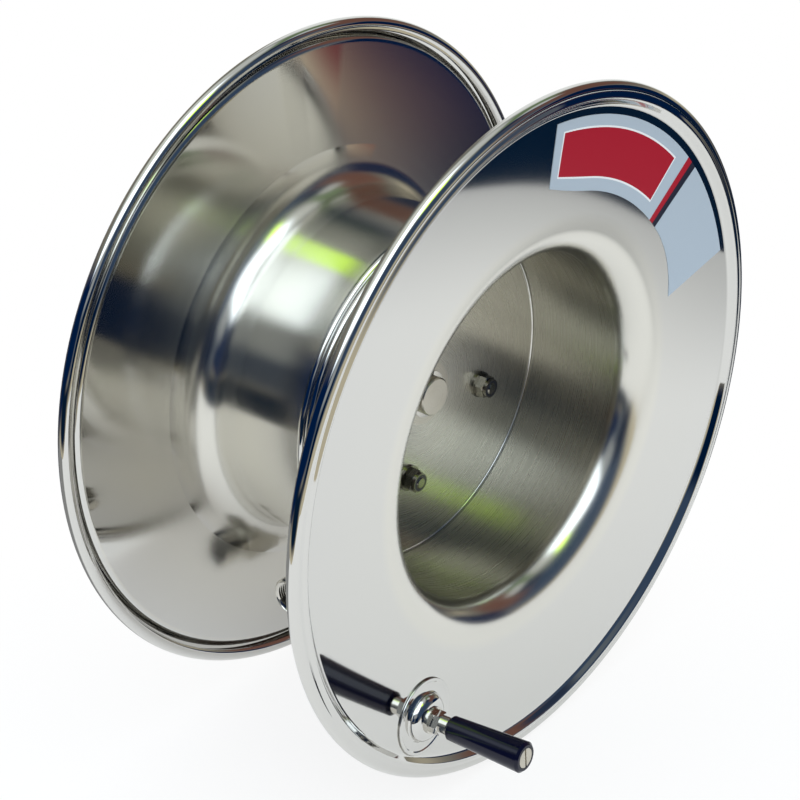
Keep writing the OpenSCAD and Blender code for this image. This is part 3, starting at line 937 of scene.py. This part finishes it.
def white_paper(studio):
    """Matt white paper, which keeps part of the reel's shadow and is clear from below."""
    paint = bpy.data.materials.get("white_paper") or bpy.data.materials.new("white_paper")
    tree = emptied(paint)
    seen = add(tree, "ShaderNodeLightPath").outputs["Is Camera Ray"]
    place = add(tree, "ShaderNodeTexCoord").outputs["Object"]
    out, edge = [
        add(tree, "ShaderNodeVectorMath", {0: place, 1: side}, operation="DOT_PRODUCT").outputs["Value"]
        for side in (AWAY, FAR_SIDE)
    ]
    depth = add(tree, "ShaderNodeSeparateXYZ", {0: place}).outputs["Y"]
    # painted shade: both ramps darken the colour and the glow of the paper that reflections see
    grey = 1
    for distance, (near, far, left) in ((out, FALL_OFF), (depth, WALL_SHADE)):
        share = add(
            tree, "ShaderNodeMapRange",
            {"Value": distance, "From Min": near, "From Max": far, "To Min": 1, "To Max": left},
            interpolation_type="SMOOTHSTEP",
        )
        grey = add(
            tree, "ShaderNodeMath", {0: grey, 1: share.outputs[0]}, operation="MULTIPLY"
        ).outputs[0]
    white = add(
        tree, "ShaderNodeMix", {0: seen, 2: grey, 3: 1}, data_type="FLOAT"
    ).outputs[0]
    glow = add(tree, "ShaderNodeEmission", {"Color": WHITE, "Strength": white})
    paper = add(tree, "ShaderNodeVectorMath", {0: studio.paper, "Scale": white}, operation="SCALE")
    chalk = add(tree, "ShaderNodeBsdfDiffuse", {"Color": paper.outputs[0]})
    # part of its white glows, and only the rest takes the shadow
    fade = add(
        tree, "ShaderNodeMapRange",
        {"Value": edge, "From Min": studio.far_cut - SHADOW_FADE, "From Max": studio.far_cut,
         "To Min": studio.paper_glow_seen, "To Max": 1},
    )
    share = add(
        tree, "ShaderNodeMapRange",
        {"Value": seen, "To Min": studio.paper_glow, "To Max": fade.outputs[0]},
    )
    both = add(
        tree, "ShaderNodeMixShader",
        {0: share.outputs[0], 1: chalk.outputs[0], 2: glow.outputs[0]},
    )
    under = add(tree, "ShaderNodeNewGeometry").outputs["Backfacing"]
    clear = add(tree, "ShaderNodeBsdfTransparent")
    upper = add(
        tree, "ShaderNodeMixShader", {0: under, 1: both.outputs[0], 2: clear.outputs[0]}
    )
    add(tree, "ShaderNodeOutputMaterial", {"Surface": upper.outputs[0]})
    return paint


def paper_sheet(studio):
    """The sheet of paper under the reel, with its two slanted edges."""
    bm = bmesh.new()
    bmesh.ops.create_grid(bm, x_segments=1, y_segments=1, size=1)
    wide = studio.paper_left + studio.paper_right
    deep = studio.paper_front + studio.paper_back
    bmesh.ops.scale(bm, vec=(wide / 2, deep / 2, 1), verts=bm.verts)
    middle = (studio.paper_right - wide / 2, studio.paper_back - deep / 2, -studio.floor_drop)
    bmesh.ops.translate(bm, vec=middle, verts=bm.verts)
    for side, reach in ((FAR_SIDE, studio.far_cut), (NEAR_SIDE, studio.near_cut)):
        bmesh.ops.bisect_plane(
            bm, geom=bm.verts[:] + bm.edges[:] + bm.faces[:], plane_co=side * reach,
            plane_no=side, clear_outer=True,
        )
    mesh = bpy.data.meshes.new("floor")
    bm.to_mesh(mesh)
    bm.free()
    mesh.materials.append(white_paper(studio))
    floor = bpy.data.objects.new(cleared("floor"), mesh)
    bpy.context.scene.collection.objects.link(floor)
    return floor


# The camera's place, and the directions that point right and up in its picture.
EYE = Vector((-1.03624, -1.01619, 0.72854))
EYE_RIGHT = Vector((0.65483, -0.75577, 0))
EYE_UP = Vector((0.36069, 0.31252, 0.87877))
SENSOR = 36  # millimetres


def studio_camera(studio):
    """The camera, in front of the reel, above it and to its left."""
    camera = bpy.data.cameras.new("camera")
    camera.sensor_width = SENSOR
    camera.lens = studio.lens
    eye = bpy.data.objects.new(cleared("camera"), camera)
    bpy.context.scene.collection.objects.link(eye)
    turn = Matrix((EYE_RIGHT, EYE_UP, EYE_RIGHT.cross(EYE_UP))).transposed()
    eye.matrix_world = Matrix.Translation(EYE) @ turn.to_4x4()
    return eye


class REEL_OT_stage(bpy.types.Operator):
    """Sets up the floor, the light and the camera"""

    bl_idname = "reel.stage"
    bl_label = "Stage"

    def execute(self, context):
        scene = context.scene
        scene.view_settings.view_transform = "Standard"
        scene.world = bpy.data.worlds.get("studio") or bpy.data.worlds.new("studio")
        studio_light(emptied(scene.world))
        floor = paper_sheet(scene.reel_studio)
        scene.camera = studio_camera(scene.reel_studio)
        return {"FINISHED"}


# ------------------------------------------------------------------ panel and registration

GROUPS = {
    "reel_drum": DrumSizes,
    "reel_handle": HandleSizes,
    "reel_outlet": OutletSizes,
    "reel_plate": PlateSizes,
    "reel_steel": SteelColours,
    "reel_studio": StudioSettings,
}
OPERATORS = (
    REEL_OT_materials,
    REEL_OT_carried,
    REEL_OT_flanges,
    REEL_OT_web,
    REEL_OT_band,
    REEL_OT_outlet,
    REEL_OT_nameplate,
    REEL_OT_handle,
    REEL_OT_stage,
)


class REEL_PT_panel(bpy.types.Panel):
    """Sizes, colours and one button for each group of pieces"""

    bl_idname = "REEL_PT_panel"
    bl_label = "Hose Reel"
    bl_space_type = "VIEW_3D"
    bl_region_type = "UI"
    bl_category = "Hose Reel"

    def draw(self, context):
        for name, group in GROUPS.items():
            box = self.layout.box()
            for prop in group.__annotations__:
                box.prop(getattr(context.scene, name), prop)
        for operator in OPERATORS:
            self.layout.operator(operator.bl_idname)


def register():
    """Registers the classes and hangs the settings on the scene."""
    for group in GROUPS.values():
        bpy.utils.register_class(group)
    for name, group in GROUPS.items():
        setattr(bpy.types.Scene, name, bpy.props.PointerProperty(type=group))
    for operator in (*OPERATORS, REEL_PT_panel):
        bpy.utils.register_class(operator)


def unregister():
    """Takes away what register added."""
    for operator in reversed((*OPERATORS, REEL_PT_panel)):
        bpy.utils.unregister_class(operator)
    for name, group in GROUPS.items():
        delattr(bpy.types.Scene, name)
        bpy.utils.unregister_class(group)


def main():
    """Builds the dressed reel."""
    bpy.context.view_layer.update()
    register()
    bpy.ops.reel.materials()
    bpy.ops.reel.carried()
    bpy.ops.reel.flanges()
    bpy.ops.reel.web()
    bpy.ops.reel.band()
    bpy.ops.reel.outlet()
    bpy.ops.reel.nameplate()
    bpy.ops.reel.handle()
    bpy.ops.reel.stage()


if __name__ == "__main__":
    main()
